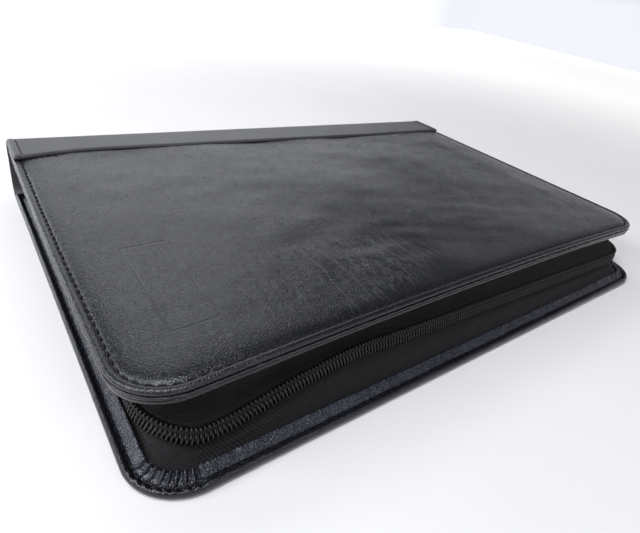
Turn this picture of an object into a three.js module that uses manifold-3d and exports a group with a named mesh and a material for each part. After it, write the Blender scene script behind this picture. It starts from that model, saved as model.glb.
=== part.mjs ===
import * as THREE from 'three';
import { mergeVertices } from 'three/addons/utils/BufferGeometryUtils.js';
import Module from 'manifold-3d';

// A zip-around leather document case for A4 papers, closed and lying on its back cover.
// Millimetres, +Z up. X runs along the near long side, from left to right, and Y runs
// from the near side to the spine. The origin is the middle of its footprint.

// Covers
const COVER_LENGTH = 345;
const FRONT_DEPTH = 235;
const BACK_REACH = 14.8;
const BACK_SHIFT = 1.7;
const LEFT_BOW = 1.1;
const CORNER_RADIUS = 22;
const FRONT_HEIGHT = 36.3;
const NEAR_BOW = 4.2;
const FRONT_BOARD = 2.5;
const FRONT_PADDING = 1.5;
const BACK_BOARD = 3.4;
const EDGE_ROLL = 4.2;

// Turned edges under the front cover and on the back cover
const FRONT_BINDING_WIDTH = 6.6;
const FRONT_BINDING_THICKNESS = 3.2;
const FRONT_BINDING_REACH = 12.6;
const BACK_BINDING_WIDTH = 3.8;
const BACK_BINDING_INSET = 3.7;
const BACK_BINDING_THICKNESS = 1.3;
const BACK_BINDING_RISE = 1.3;
const PLEAT_COUNT = 9;
const PLEAT_DEPTH = 0.5;

// Spine, one leather wrap with a band on each cover
const SPINE_WALL = 2.2;
const SPINE_BULGE = 5.5;
const SPINE_ROUNDING = 9;
const TOP_BAND_WIDTH = 28.5;
const BAND_WAVE = 3;
const BOTTOM_BAND_WIDTH = 20;

// Gusset and zip
const GUSSET_WALL = 1.2;
const GUSSET_INSET = 6.9;
const GUSSET_CORNER = 27;
const GUSSET_FROM_SPINE = 56.5;
const COIL_HEIGHT = 3.6;
const COIL_DEPTH = 2.6;
const TAPE_WALL = 0.8;
const TAPE_MARGIN = 2.6;

// Folded leather tabs between the zip's ends and the spine
const TAB_WALL = 1.2;
const TAB_FOLDS = 3;
const TAB_FOLD_DEPTH = 1.4;
const TAB_TOP_REACH = 30;
const TAB_BOTTOM_REACH = 53;

// Zip slider
const SLIDER_LENGTH = 13;
const SLIDER_WIDTH = 7.6;
const SLIDER_THICKNESS = 2.2;
const PULL_LENGTH = 24;
const PULL_WIDTH = 7;
const PULL_THICKNESS = 1.6;
const SLIDER_FROM_END = 18;

// Clearance between neighbouring pieces, and how finely curves are stepped
const GAP = 0.3;
const SIDE_STEPS = 7;
const ARC_STEPS = 8;
const NEAR_STEPS = 18;
const FAR_STEPS = 10;
const SPINE_STEPS = 14;
const ROUND_STEPS = 5;

// Height of each corner of the front cover over its general height, as shares of NEAR_BOW
const CORNER_LIFT = { nearLeft: -0.3, nearRight: 0.15, farLeft: 0, farRight: -0.12 };

// Section of the front cover from underside to crown: inset from the rim as a share of
// FRONT_BINDING_WIDTH, height as a share of FRONT_BOARD below or FRONT_PADDING above
const FRONT_RIM = [
  { inset: 2.2, below: 1, above: 0 },
  { inset: 0.4, below: 1, above: 0 },
  { inset: 0.08, below: 0.94, above: 0 },
  { inset: 0, below: 0.62, above: 0 },
  { inset: 0.06, below: 0.22, above: 0 },
  { inset: 0.24, below: 0.04, above: 0 },
  { inset: 0.55, below: 0.34, above: 0 },
  { inset: 0.9, below: 0, above: 0.35 },
  { inset: 1.8, below: 0, above: 0.85 },
  { inset: 5, below: 0, above: 1 },
];

// Section of the rolled edge under the front cover, a full roll with a flat band below it:
// distance out from the rim and down from its top, as shares of FRONT_BINDING_THICKNESS
const FRONT_BINDING_FACE = [
  { out: -0.3, down: 1 },
  { out: -0.14, down: 0.95 },
  { out: -0.12, down: 0.42 },
  { out: 0.04, down: 0.3 },
  { out: 0.04, down: 0.1 },
  { out: -0.08, down: 0 },
];

// Section of the back cover from underside to inner face: inset as a share of
// BACK_BINDING_INSET, height as a share of EDGE_ROLL
const BACK_RIM = [
  { inset: 0.6, height: 0 },
  { inset: 0.12, height: 0.18 },
  { inset: 0, height: 0.5 },
  { inset: 0.12, height: 0.84 },
  { inset: 0.42, height: 1 },
  { inset: 0.8, height: 0.74 },
];

// Height of the zip between its two covers, from the left end to the right end of the gusset
const ZIP_LEVEL = [
  { along: 0, level: 0.52 },
  { along: 0.2, level: 0.52 },
  { along: 0.25, level: 0.46 },
  { along: 0.29, level: 0.315 },
  { along: 0.335, level: 0.48 },
  { along: 0.38, level: 0.575 },
  { along: 0.44, level: 0.515 },
  { along: 0.53, level: 0.47 },
  { along: 0.6, level: 0.44 },
  { along: 0.7, level: 0.4 },
  { along: 0.8, level: 0.46 },
  { along: 1, level: 0.52 },
];

// How far the fabric sinks in between the covers, in wall thicknesses
const UPPER_SINK = [
  { down: 0, sink: 0 },
  { down: 0.5, sink: 2.3 },
  { down: 1, sink: 0.9 },
];
const LOWER_SINK = [
  { down: 0, sink: 3.4 },
  { down: 0.3, sink: 3 },
  { down: 0.7, sink: 2.3 },
  { down: 1, sink: 0.5 },
];

const lerp = THREE.MathUtils.lerp;

// The two covers in plan
const front = {
  left: -COVER_LENGTH / 2,
  right: COVER_LENGTH / 2,
  near: -FRONT_DEPTH / 2,
  far: FRONT_DEPTH / 2,
  radius: CORNER_RADIUS,
  bow: LEFT_BOW,
};
const back = {
  left: front.left - BACK_SHIFT,
  right: front.right - BACK_SHIFT,
  near: front.near - BACK_REACH,
  far: front.far,
  radius: CORNER_RADIUS,
  bow: 0,
};

const gussetEnd = front.far - GUSSET_FROM_SPINE;

// Value of one column of a table at a place between its rows
function fromTable(table, key, column, place) {
  const next = table.findIndex((row) => row[key] >= place);
  if (next < 0) return table[table.length - 1][column];
  if (next === 0) return table[0][column];
  const before = table[next - 1];
  const after = table[next];
  return lerp(before[column], after[column], (place - before[key]) / (after[key] - before[key]));
}

// Height of the front cover's rim plane at a point of its plan
function frontHeight(x, y) {
  const u = THREE.MathUtils.clamp((x - front.left) / (front.right - front.left), 0, 1);
  const w = THREE.MathUtils.clamp((y - front.near) / (front.far - front.near), 0, 1);
  const nearLift = lerp(CORNER_LIFT.nearLeft, CORNER_LIFT.nearRight, u) + 4 * u * (1 - u);
  const farLift = lerp(CORNER_LIFT.farLeft, CORNER_LIFT.farRight, u);
  return FRONT_HEIGHT + NEAR_BOW * lerp(nearLift, farLift, w);
}

// Outward bow of a panel's left edge at a point along it
function leftBow(panel, y) {
  return panel.bow * Math.sin(Math.PI * (y - panel.near) / (panel.far - panel.near));
}

// One quarter turn of stations round a corner
function cornerStations(centreX, centreY, radius, startAngle, steps) {
  return Array.from({ length: steps + 1 }, (_, i) => {
    const angle = startAngle + (i / steps) * Math.PI / 2;
    const nx = Math.cos(angle);
    const ny = Math.sin(angle);
    return { x: centreX + radius * nx, y: centreY + radius * ny, nx, ny };
  });
}

// Stations with outward normals down the left side, along the near side and up the right
// side of a panel, at an inset from its rim
function threeSides(panel, inset, farEnd, arcSteps = ARC_STEPS) {
  const radius = Math.max(panel.radius - inset, GAP);
  const left = panel.left + inset;
  const right = panel.right - inset;
  const near = panel.near + inset;
  const cornerY = near + radius;
  const stations = [];
  for (let i = 0; i < SIDE_STEPS; i += 1) {
    stations.push({ x: left, y: lerp(farEnd, cornerY, i / SIDE_STEPS), nx: -1, ny: 0 });
  }
  stations.push(...cornerStations(left + radius, cornerY, radius, Math.PI, arcSteps));
  for (let i = 1; i < NEAR_STEPS; i += 1) {
    stations.push({ x: lerp(left + radius, right - radius, i / NEAR_STEPS), y: near, nx: 0, ny: -1 });
  }
  stations.push(...cornerStations(right - radius, cornerY, radius, 1.5 * Math.PI, arcSteps));
  for (let i = 1; i <= SIDE_STEPS; i += 1) {
    stations.push({ x: right, y: lerp(cornerY, farEnd, i / SIDE_STEPS), nx: 1, ny: 0 });
  }
  return stations.map((station) => {
    const bow = station.x < 0 ? leftBow(panel, station.y) : 0;
    return { ...station, x: station.x - bow };
  });
}

// Triangles of a flat loop, wound like the loop or against it
function capFaces(flat, firstIndex, likeLoop) {
  const turn = THREE.ShapeUtils.area(flat) > 0 === likeLoop;
  return THREE.ShapeUtils.triangulateShape(flat, []).map(([a, b, c]) => {
    const area = THREE.ShapeUtils.area([flat[a], flat[b], flat[c]]);
    const face = (area > 0) === turn ? [a, b, c] : [a, c, b];
    return face.map((index) => index + firstIndex);
  });
}

// Closed solid through a row of loops with equally many points, with both ends capped
function loft(loops, flatten) {
  const count = loops[0].length;
  const faces = [];
  for (let k = 0; k < loops.length - 1; k += 1) {
    for (let i = 0; i < count; i += 1) {
      const a = k * count + i;
      const b = k * count + (i + 1) % count;
      faces.push([a, b, b + count], [a, b + count, a + count]);
    }
  }
  const last = loops.length - 1;
  faces.push(...capFaces(loops[0].map((p) => flatten(p, 0)), 0, false));
  faces.push(...capFaces(loops[last].map((p) => flatten(p, last)), last * count, true));
  return orientedGeometry(loops.flat(), faces);
}

// Geometry from points and faces, turned so that its faces point outwards
function orientedGeometry(points, faces) {
  const volume = faces.reduce((sum, [a, b, c]) => {
    return sum + points[a].dot(new THREE.Vector3().crossVectors(points[b], points[c]));
  }, 0);
  const outward = volume > 0 ? faces : faces.map(([a, b, c]) => [a, c, b]);
  const geometry = new THREE.BufferGeometry();
  geometry.setAttribute('position', new THREE.Float32BufferAttribute(points.flatMap((p) => p.toArray()), 3));
  geometry.setIndex(outward.flat());
  geometry.computeVertexNormals();
  return geometry;
}

// Strip carried along stations: profile(station, index) gives points as offset and height
function sweep(stations, profile) {
  const profiles = stations.map((station, i) => profile(station, i));
  const loops = stations.map((station, i) => profiles[i].map(({ out, z }) => {
    return new THREE.Vector3(station.x + station.nx * out, station.y + station.ny * out, z);
  }));
  const flatten = (point, i) => new THREE.Vector2(
    (point.x - stations[i].x) * stations[i].nx + (point.y - stations[i].y) * stations[i].ny,
    point.z,
  );
  return loft(loops, flatten);
}

// A closed loop round a panel at an inset, with the far side added to the three others
function rimLoop(panel, inset) {
  const sides = threeSides(panel, inset, panel.far - inset);
  const first = sides[0];
  const last = sides[sides.length - 1];
  const farSide = Array.from({ length: FAR_STEPS - 1 }, (_, i) => {
    const share = (i + 1) / FAR_STEPS;
    return { x: lerp(last.x, first.x, share), y: panel.far - inset };
  });
  return [...sides, ...farSide];
}

// Insets of the inner rings that carry a cover's middle, as shares of half its depth
const MIDDLE_RINGS = [0.45, 0.7, 0.92];

function solidOf(geometry) {
  const bare = geometry.clone();
  bare.deleteAttribute('normal');
  bare.deleteAttribute('uv');
  const merged = mergeVertices(bare.index ? bare.toNonIndexed() : bare, 1e-4);
  return new wasm.Manifold(new wasm.Mesh({
    numProp: 3,
    vertProperties: new Float32Array(merged.attributes.position.array),
    triVerts: new Uint32Array(merged.index.array),
  }));
}

function geometryOf(solid) {
  const mesh = solid.getMesh();
  const geometry = new THREE.BufferGeometry();
  geometry.setAttribute('position', new THREE.BufferAttribute(mesh.vertProperties, 3));
  geometry.setIndex(new THREE.BufferAttribute(mesh.triVerts, 1));
  geometry.computeVertexNormals();
  return geometry;
}

const wasm = await Module();
wasm.setup();

const flattenPlan = (point) => new THREE.Vector2(point.x, point.y);
const bandEdge = (x) => front.far - TOP_BAND_WIDTH - BAND_WAVE * Math.sin(Math.PI * x / COVER_LENGTH);
const alongSpine = Array.from({ length: SPINE_STEPS + 1 }, (_, i) => {
  return { x: lerp(front.left, front.right, i / SPINE_STEPS) };
});

// Room for the spine's top band over the front cover, with stations along X like the band's
function bandSeat() {
  const beyond = front.far + SPINE_BULGE;
  const above = 2 * FRONT_HEIGHT;
  const loops = alongSpine.map(({ x }) => [
    new THREE.Vector3(x, bandEdge(x) - GAP, frontHeight(x, bandEdge(x))),
    new THREE.Vector3(x, beyond, frontHeight(x, front.far)),
    new THREE.Vector3(x, beyond, above),
    new THREE.Vector3(x, bandEdge(x) - GAP, above),
  ]);
  loops[0].forEach((point) => point.setX(2 * front.left));
  loops[loops.length - 1].forEach((point) => point.setX(2 * front.right));
  return loft(loops, (point) => new THREE.Vector2(point.y, point.z));
}

// Padded front cover, a soft panel whose rim dips at the stitch line
function frontCoverGeometry() {
  const panel = { ...front, far: front.far - SPINE_WALL - GAP };
  const underside = [0.92, 0.5].map((share) => ({ inset: share * FRONT_DEPTH / 2, below: 1, above: 0 }));
  const rim = FRONT_RIM.map((row) => ({ ...row, inset: row.inset * FRONT_BINDING_WIDTH }));
  const crown = MIDDLE_RINGS.map((share) => ({ inset: share * FRONT_DEPTH / 2, below: 0, above: 1 }));
  const loops = [...underside, ...rim, ...crown].map(({ inset, below, above }) => {
    return rimLoop(panel, inset).map(({ x, y }) => {
      return new THREE.Vector3(x, y, frontHeight(x, y) - below * FRONT_BOARD + above * FRONT_PADDING);
    });
  });
  return geometryOf(solidOf(loft(loops, flattenPlan)).subtract(solidOf(bandSeat())));
}

// Back cover, flat on the table, thinner where the spine's lower band lies under it
function backCoverGeometry() {
  const panel = { ...back, far: back.far - SPINE_WALL - GAP };
  const underside = [0.92, 0.3].map((share) => ({ inset: share * FRONT_DEPTH / 2, z: 0 }));
  const rim = BACK_RIM.map(({ inset, height }) => ({ inset: inset * BACK_BINDING_INSET, z: height * EDGE_ROLL }));
  const inner = [0.3, 0.92].map((share) => ({ inset: share * FRONT_DEPTH / 2, z: BACK_BOARD }));
  const seat = { inset: BACK_BINDING_INSET, z: BACK_BOARD };
  const loops = [...underside, ...rim, seat, ...inner].map(({ inset, z }) => {
    return rimLoop(panel, inset).map(({ x, y }) => new THREE.Vector3(x, y, z));
  });
  const seatDepth = BOTTOM_BAND_WIDTH + GAP;
  const cutHeight = SPINE_WALL + GAP;
  const cutter = new THREE.BoxGeometry(COVER_LENGTH * 1.2, seatDepth * 2, cutHeight * 2);
  cutter.translate(0, back.far, 0);
  return geometryOf(solidOf(loft(loops, flattenPlan)).subtract(solidOf(cutter)));
}

// Rolled leather edge under the front cover's rim
function frontBindingGeometry() {
  const end = front.far - SPINE_ROUNDING;
  return sweep(threeSides(front, 0, end), ({ x, y, nx, ny }) => {
    const place = (out, down) => {
      const rim = frontHeight(x + nx * out, y + ny * out);
      return { out, z: rim - FRONT_BOARD - GAP - down };
    };
    const face = FRONT_BINDING_FACE.map(({ out, down }) => {
      return place(out * FRONT_BINDING_THICKNESS, down * FRONT_BINDING_THICKNESS);
    });
    return [
      place(-FRONT_BINDING_REACH, 0),
      place(-FRONT_BINDING_REACH, FRONT_BINDING_THICKNESS),
      ...face,
    ];
  });
}

// Turned-in leather strip on the back cover, pleated round the near corners
function backBindingGeometry() {
  const arcSteps = PLEAT_COUNT * 2;
  const stations = threeSides(back, BACK_BINDING_INSET, gussetEnd, arcSteps);
  const firstCorner = SIDE_STEPS;
  const secondCorner = firstCorner + arcSteps + NEAR_STEPS;
  return sweep(stations, (station, i) => {
    const inCorner = (start) => i > start && i < start + arcSteps;
    const pleated = inCorner(firstCorner) || inCorner(secondCorner);
    const fold = pleated && i % 2 ? PLEAT_DEPTH : 0;
    const foot = BACK_BOARD + GAP;
    return [
      { out: -GAP, z: foot },
      { out: -GAP, z: foot + BACK_BINDING_THICKNESS - fold },
      { out: -BACK_BINDING_WIDTH / 2, z: foot + BACK_BINDING_THICKNESS + BACK_BINDING_RISE * 0.6 - fold },
      { out: -BACK_BINDING_WIDTH, z: foot + BACK_BINDING_THICKNESS + BACK_BINDING_RISE - fold },
      { out: -BACK_BINDING_WIDTH, z: foot },
    ];
  });
}

// Outer line of the spine's wrap at a point along it: top band, rounded back, bottom band
function spineLine(x, inward) {
  const top = frontHeight(x, front.far) + GAP + SPINE_WALL;
  const outer = front.far + SPINE_BULGE - inward;
  const roundY = SPINE_ROUNDING - inward;
  const points = [
    { y: bandEdge(x), z: frontHeight(x, bandEdge(x)) + GAP + SPINE_WALL - inward },
    { y: outer - roundY, z: top - inward },
  ];
  for (let i = 1; i <= ROUND_STEPS; i += 1) {
    const angle = (i / ROUND_STEPS) * Math.PI / 2;
    points.push({
      y: outer - roundY + roundY * Math.sin(angle),
      z: top - SPINE_ROUNDING + (SPINE_ROUNDING - inward) * Math.cos(angle),
    });
  }
  for (let i = 0; i <= ROUND_STEPS; i += 1) {
    const angle = (i / ROUND_STEPS) * Math.PI / 2;
    points.push({
      y: outer - roundY + roundY * Math.cos(angle),
      z: SPINE_ROUNDING - (SPINE_ROUNDING - inward) * Math.sin(angle),
    });
  }
  points.push({ y: back.far - BOTTOM_BAND_WIDTH, z: inward });
  return points;
}

// Spine as one leather wall wrapped round the far side, open at both ends
function spineGeometry() {
  const loops = alongSpine.map(({ x }) => {
    const outline = [...spineLine(x, 0), ...spineLine(x, SPINE_WALL).reverse()];
    return outline.map(({ y, z }) => new THREE.Vector3(x - BACK_SHIFT * (1 - z / FRONT_HEIGHT), y, z));
  });
  return loft(loops, (point) => new THREE.Vector2(point.y, point.z));
}

// Places on the gusset: its upper edge under the front cover, its lower edge on the back
// cover's turned strip, and the zip's line between them
const rounder = { ...front, radius: GUSSET_CORNER + GUSSET_INSET };
const upperEdge = threeSides(rounder, GUSSET_INSET, gussetEnd);
const lowerEdge = threeSides(back, BACK_BINDING_INSET + BACK_BINDING_WIDTH + GAP, gussetEnd);
const gussetTop = ({ x, y }) => {
  return frontHeight(x, y) - FRONT_BOARD - FRONT_BINDING_THICKNESS - 2 * GAP;
};
const gussetFoot = BACK_BOARD + 2 * GAP;
const lengthsAlong = upperEdge.map((station, i) => {
  const before = upperEdge[Math.max(i - 1, 0)];
  return Math.hypot(station.x - before.x, station.y - before.y);
});
const wholeLength = lengthsAlong.reduce((sum, length) => sum + length, 0);
const alongShare = lengthsAlong.map((_, i) => {
  return lengthsAlong.slice(0, i + 1).reduce((sum, length) => sum + length, 0) / wholeLength;
});
const zipHeight = upperEdge.map((station, i) => {
  return lerp(gussetFoot, gussetTop(station), fromTable(ZIP_LEVEL, 'along', 'level', alongShare[i]));
});

// Share of the way down from the upper edge to the lower edge at a height
const shareDown = (i, z) => (gussetTop(upperEdge[i]) - z) / (gussetTop(upperEdge[i]) - gussetFoot);

// Plan point of the slanting wall between both edges, at a share of the way down
function wallStation(i, share) {
  const { x, y, nx, ny } = upperEdge[i];
  return { x: lerp(x, lowerEdge[i].x, share), y: lerp(y, lowerEdge[i].y, share), nx, ny };
}

// Wall of fabric between two heights that sinks in as its table says
function fabricWall(heights, table) {
  const loops = upperEdge.map((_, i) => {
    const { high, low } = heights(i);
    const face = (layer) => table.map(({ down, sink }) => {
      const z = lerp(high, low, down);
      const { x, y, nx, ny } = wallStation(i, shareDown(i, z));
      const out = -(sink + layer) * GUSSET_WALL;
      return new THREE.Vector3(x + nx * out, y + ny * out, z);
    });
    return [...face(0), ...face(1).reverse()];
  });
  return loft(loops, (point) => new THREE.Vector2(point.x, point.z));
}

const coilHalf = COIL_HEIGHT + GAP / 2;
const gussetUpperGeometry = () => fabricWall(
  (i) => ({ high: gussetTop(upperEdge[i]), low: zipHeight[i] + coilHalf + GAP }),
  UPPER_SINK,
);
const gussetLowerGeometry = () => fabricWall(
  (i) => ({ high: zipHeight[i] - coilHalf - TAPE_MARGIN - 2 * GAP, low: gussetFoot }),
  LOWER_SINK,
);

// The zip's line, sunk by one wall behind the gusset's face
const zipLine = zipHeight.map((z, i) => wallStation(i, shareDown(i, z)));

// One row of the closed coil, above the zip's line or below it
function coilGeometry(side) {
  const base = -GUSSET_WALL;
  return sweep(zipLine, (station, i) => {
    const inner = zipHeight[i] + side * GAP / 2;
    const outer = zipHeight[i] + side * coilHalf;
    const shoulder = lerp(inner, outer, 0.8);
    return [
      { out: base - COIL_DEPTH, z: inner },
      { out: base, z: inner },
      { out: base, z: shoulder },
      { out: base - COIL_DEPTH * 0.35, z: outer },
      { out: base - COIL_DEPTH, z: outer },
    ];
  });
}

// Woven tape behind a coil row
function tapeGeometry(side) {
  const face = -GUSSET_WALL - COIL_DEPTH - GAP;
  return sweep(zipLine, (station, i) => {
    const inner = zipHeight[i] + side * GAP / 2;
    const outer = zipHeight[i] + side * (coilHalf + (side < 0 ? TAPE_MARGIN : 0));
    return [
      { out: face, z: inner },
      { out: face, z: outer },
      { out: face - TAPE_WALL, z: outer },
      { out: face - TAPE_WALL, z: inner },
    ];
  });
}

// Folded leather tab between the gusset's end and the spine, slanting in under the band
function endTabGeometry(side) {
  const edge = side < 0 ? upperEdge[0] : upperEdge[upperEdge.length - 1];
  const foldSteps = TAB_FOLDS * 2;
  const high = gussetTop(edge);
  const foot = EDGE_ROLL + GAP;
  const rows = Array.from({ length: foldSteps + 1 }, (_, i) => {
    const share = i / foldSteps;
    const sink = GUSSET_WALL + (i % 2 ? TAB_FOLD_DEPTH : 0);
    const reach = lerp(TAB_BOTTOM_REACH, TAB_TOP_REACH, share);
    return { z: lerp(foot, high, share), sink, reach };
  });
  const walls = [...rows, ...rows.map((row) => ({ ...row, sink: row.sink + TAB_WALL })).reverse()];
  const steps = 6;
  const loops = Array.from({ length: steps + 1 }, (_, k) => walls.map(({ z, sink, reach }) => {
    const share = k / steps;
    const settle = Math.sin(Math.PI * share) * 0.5 + 1;
    return new THREE.Vector3(edge.x - side * sink * settle, edge.y + GAP + reach * share, z);
  }));
  return loft(loops, (point) => new THREE.Vector2(point.x, point.z));
}

// Outline with round ends, long side along X
function roundedOutline(length, width, round) {
  const shape = new THREE.Shape();
  const x = length / 2 - round;
  const y = width / 2 - round;
  shape.absarc(x, -y, round, -Math.PI / 2, 0);
  shape.absarc(x, y, round, 0, Math.PI / 2);
  shape.absarc(-x, y, round, Math.PI / 2, Math.PI);
  shape.absarc(-x, -y, round, Math.PI, 1.5 * Math.PI);
  return shape;
}

// Slider body with its pull hanging from it, as one plain piece
function sliderGeometry() {
  const options = { bevelEnabled: false, curveSegments: 4 };
  const bodyShape = roundedOutline(SLIDER_LENGTH, SLIDER_WIDTH, SLIDER_WIDTH / 3);
  const body = new THREE.ExtrudeGeometry(bodyShape, { ...options, depth: SLIDER_THICKNESS });
  const pullShape = roundedOutline(PULL_LENGTH, PULL_WIDTH, PULL_WIDTH / 2.5);
  const eye = new THREE.Path();
  eye.absarc(PULL_LENGTH / 2 - PULL_WIDTH / 2, 0, PULL_WIDTH / 5, 0, 2 * Math.PI, true);
  pullShape.holes.push(eye);
  const pull = new THREE.ExtrudeGeometry(pullShape, { ...options, depth: PULL_THICKNESS });
  pull.translate(-PULL_LENGTH / 2, 0, SLIDER_THICKNESS * 0.8);
  return geometryOf(solidOf(body).add(solidOf(pull)));
}

const leather = { color: 0x24252a, roughness: 0.42, metalness: 0 };
const satinLeather = { color: 0x33343a, roughness: 0.5, metalness: 0 };
const fabric = { color: 0x1c1d1c, roughness: 0.85, metalness: 0 };
const nylon = { color: 0x17181a, roughness: 0.35, metalness: 0 };
const gunmetal = { color: 0x3a3b3f, roughness: 0.3, metalness: 0.9 };

const documentCase = new THREE.Group();

function addPiece(name, geometry, finish) {
  const mesh = new THREE.Mesh(geometry, new THREE.MeshStandardMaterial(finish));
  mesh.name = name;
  documentCase.add(mesh);
  return mesh;
}

addPiece('back_cover', backCoverGeometry(), leather);
addPiece('back_edge_binding', backBindingGeometry(), satinLeather);
addPiece('front_cover', frontCoverGeometry(), leather);
addPiece('front_edge_binding', frontBindingGeometry(), satinLeather);
addPiece('spine', spineGeometry(), leather);
addPiece('gusset_upper', gussetUpperGeometry(), fabric);
addPiece('gusset_lower', gussetLowerGeometry(), fabric);
addPiece('zip_tape_upper', tapeGeometry(1), fabric);
addPiece('zip_tape_lower', tapeGeometry(-1), fabric);
addPiece('zip_coil_upper', coilGeometry(1), nylon);
addPiece('zip_coil_lower', coilGeometry(-1), nylon);
addPiece('end_tab_left', endTabGeometry(-1), satinLeather);
addPiece('end_tab_right', endTabGeometry(1), satinLeather);

// The slider rides outside the coils on the right side, its pull pointing to the near side
const slider = addPiece('zip_slider', sliderGeometry(), gunmetal);
const zipEnd = zipLine[zipLine.length - 1];
slider.quaternion.setFromRotationMatrix(new THREE.Matrix4().makeBasis(
  new THREE.Vector3(0, 1, 0),
  new THREE.Vector3(0, 0, 1),
  new THREE.Vector3(1, 0, 0),
));
slider.position.set(
  zipEnd.x - GUSSET_WALL + GAP,
  zipEnd.y - SLIDER_FROM_END,
  zipHeight[zipHeight.length - 1],
);

// The footprint's middle becomes the origin
const box = new THREE.Box3().setFromObject(documentCase);
const middle = box.getCenter(new THREE.Vector3());
documentCase.position.set(-middle.x, -middle.y, 0);

export default documentCase;
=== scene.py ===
# %% [markdown]
# # A leather document case
#
# A zip-around case for A4 papers lies closed on a pale table, seen from its near left corner.
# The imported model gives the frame, and each of its plain solids is replaced here by a dressed
# piece: padded grained leather, sewn edges, a woven gusset and a coil zip.
#
# All sizes below are in millimetres, with the middle of the front cover's plan as the origin of
# the drawing. `SHIFT` moves the drawing onto the frame, whose unit is the metre.

import math

import bpy
import bmesh
import numpy as np
from mathutils import Matrix


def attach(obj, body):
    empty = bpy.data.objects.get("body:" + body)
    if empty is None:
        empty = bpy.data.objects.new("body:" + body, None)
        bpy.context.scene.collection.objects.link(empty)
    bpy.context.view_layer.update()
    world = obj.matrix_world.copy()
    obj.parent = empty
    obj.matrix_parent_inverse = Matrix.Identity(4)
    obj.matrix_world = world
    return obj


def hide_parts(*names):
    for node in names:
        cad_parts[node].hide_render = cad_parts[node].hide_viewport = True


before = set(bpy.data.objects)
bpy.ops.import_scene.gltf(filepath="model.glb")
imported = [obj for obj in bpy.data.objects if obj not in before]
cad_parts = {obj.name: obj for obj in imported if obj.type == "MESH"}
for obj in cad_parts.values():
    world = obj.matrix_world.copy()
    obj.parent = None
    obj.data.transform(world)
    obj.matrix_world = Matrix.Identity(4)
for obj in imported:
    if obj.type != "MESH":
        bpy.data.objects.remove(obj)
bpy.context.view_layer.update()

# %% [markdown]
# ## Sizes
#
# The covers are two rounded rectangles. The front one is higher in the middle of its near side
# than at its corners, because the case is a little full.

# %% Named sizes
MM = 0.001
SHIFT = np.array([0.786, 4.65, 0.0])
LENGTH, DEPTH, REACH = 345.0, 235.0, 14.8
LEAN, BOW, RADIUS = 1.7, 1.1, 22.0
HEIGHT, NEAR_BOW = 36.3, 4.2
CORNER_LIFT = {"near_left": -0.3, "near_right": 0.15, "far_left": 0.0, "far_right": -0.12}
PADDING, SKIN, GAP = 1.5, 2.2, 0.3
STITCH_INSET = 3.45
BEAD_FOOT = 6.0
SPINE_BULGE, SPINE_ROUND, LOWER_BAND = 5.5, 9.0, 20.0
GUSSET_END, GUSSET_WALL, GUSSET_INSET, GUSSET_CORNER = 61.0, 1.2, 6.9, 27.0
FLANGE, BACK_BOARD = 7.8, 3.4
COIL_PITCH, COIL_HALF = 1.67, 3.6

FRONT = {"left": -LENGTH / 2, "right": LENGTH / 2, "near": -DEPTH / 2, "far": DEPTH / 2,
         "bow": BOW}
BACK = {"left": FRONT["left"] - LEAN, "right": FRONT["right"] - LEAN,
        "near": FRONT["near"] - REACH, "far": FRONT["far"], "bow": 0.0}

# Where the spine's band ends on the front cover: x and y
BAND_EDGE = {"x": [-173, -165, -149, -127, -110, -50, 53, 97, 136, 173],
             "y": [85.6, 87.8, 91.2, 92.6, 91.9, 89.6, 86.6, 86.2, 87.6, 88.6]}

# Height of the zip between the covers, by its share along the gusset
ZIP_LEVEL = {"along": [0, 0.2, 0.25, 0.29, 0.335, 0.38, 0.44, 0.53, 0.6, 0.7, 0.8, 1],
             "level": [0.52, 0.52, 0.46, 0.315, 0.48, 0.575, 0.515, 0.47, 0.44, 0.4, 0.46, 0.52]}


def smooth(value):
    """0 below 0, 1 above 1, 3v^2 - 2v^3 between."""
    v = np.clip(value, 0.0, 1.0)
    return v * v * (3.0 - 2.0 * v)


def bump_at(place, centre, width):
    """A round hump 1 high: exp(-((place - centre) / width)^2)."""
    return np.exp(-((place - centre) / width) ** 2)


def ripple(x, y, length, seed, count=9):
    """Soft random relief in -1..1: the mean of sines of one wavelength in random directions."""
    rng = np.random.default_rng(seed)
    total = np.zeros(np.broadcast(x, y).shape)
    for _ in range(count):
        angle, phase = rng.uniform(0, math.tau, 2)
        k = math.tau / (length * rng.uniform(0.7, 1.5))
        total += np.sin(k * (x * math.cos(angle) + y * math.sin(angle)) + phase)
    return total / math.sqrt(count)


def front_height(x, y):
    """Height of the front cover's rim: bilinear corner lifts plus a parabola along its near side."""
    u = np.clip((x - FRONT["left"]) / LENGTH, 0, 1)
    w = np.clip((y - FRONT["near"]) / DEPTH, 0, 1)
    near = CORNER_LIFT["near_left"] * (1 - u) + CORNER_LIFT["near_right"] * u + 4 * u * (1 - u)
    far = CORNER_LIFT["far_left"] * (1 - u) + CORNER_LIFT["far_right"] * u
    return HEIGHT + NEAR_BOW * (near * (1 - w) + far * w)


def band_edge(x):
    """The band's edge: its table smoothed over 12 mm."""
    steps = np.linspace(-12, 12, 9)
    return np.mean([np.interp(x + s, BAND_EDGE["x"], BAND_EDGE["y"]) for s in steps], axis=0)


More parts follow.
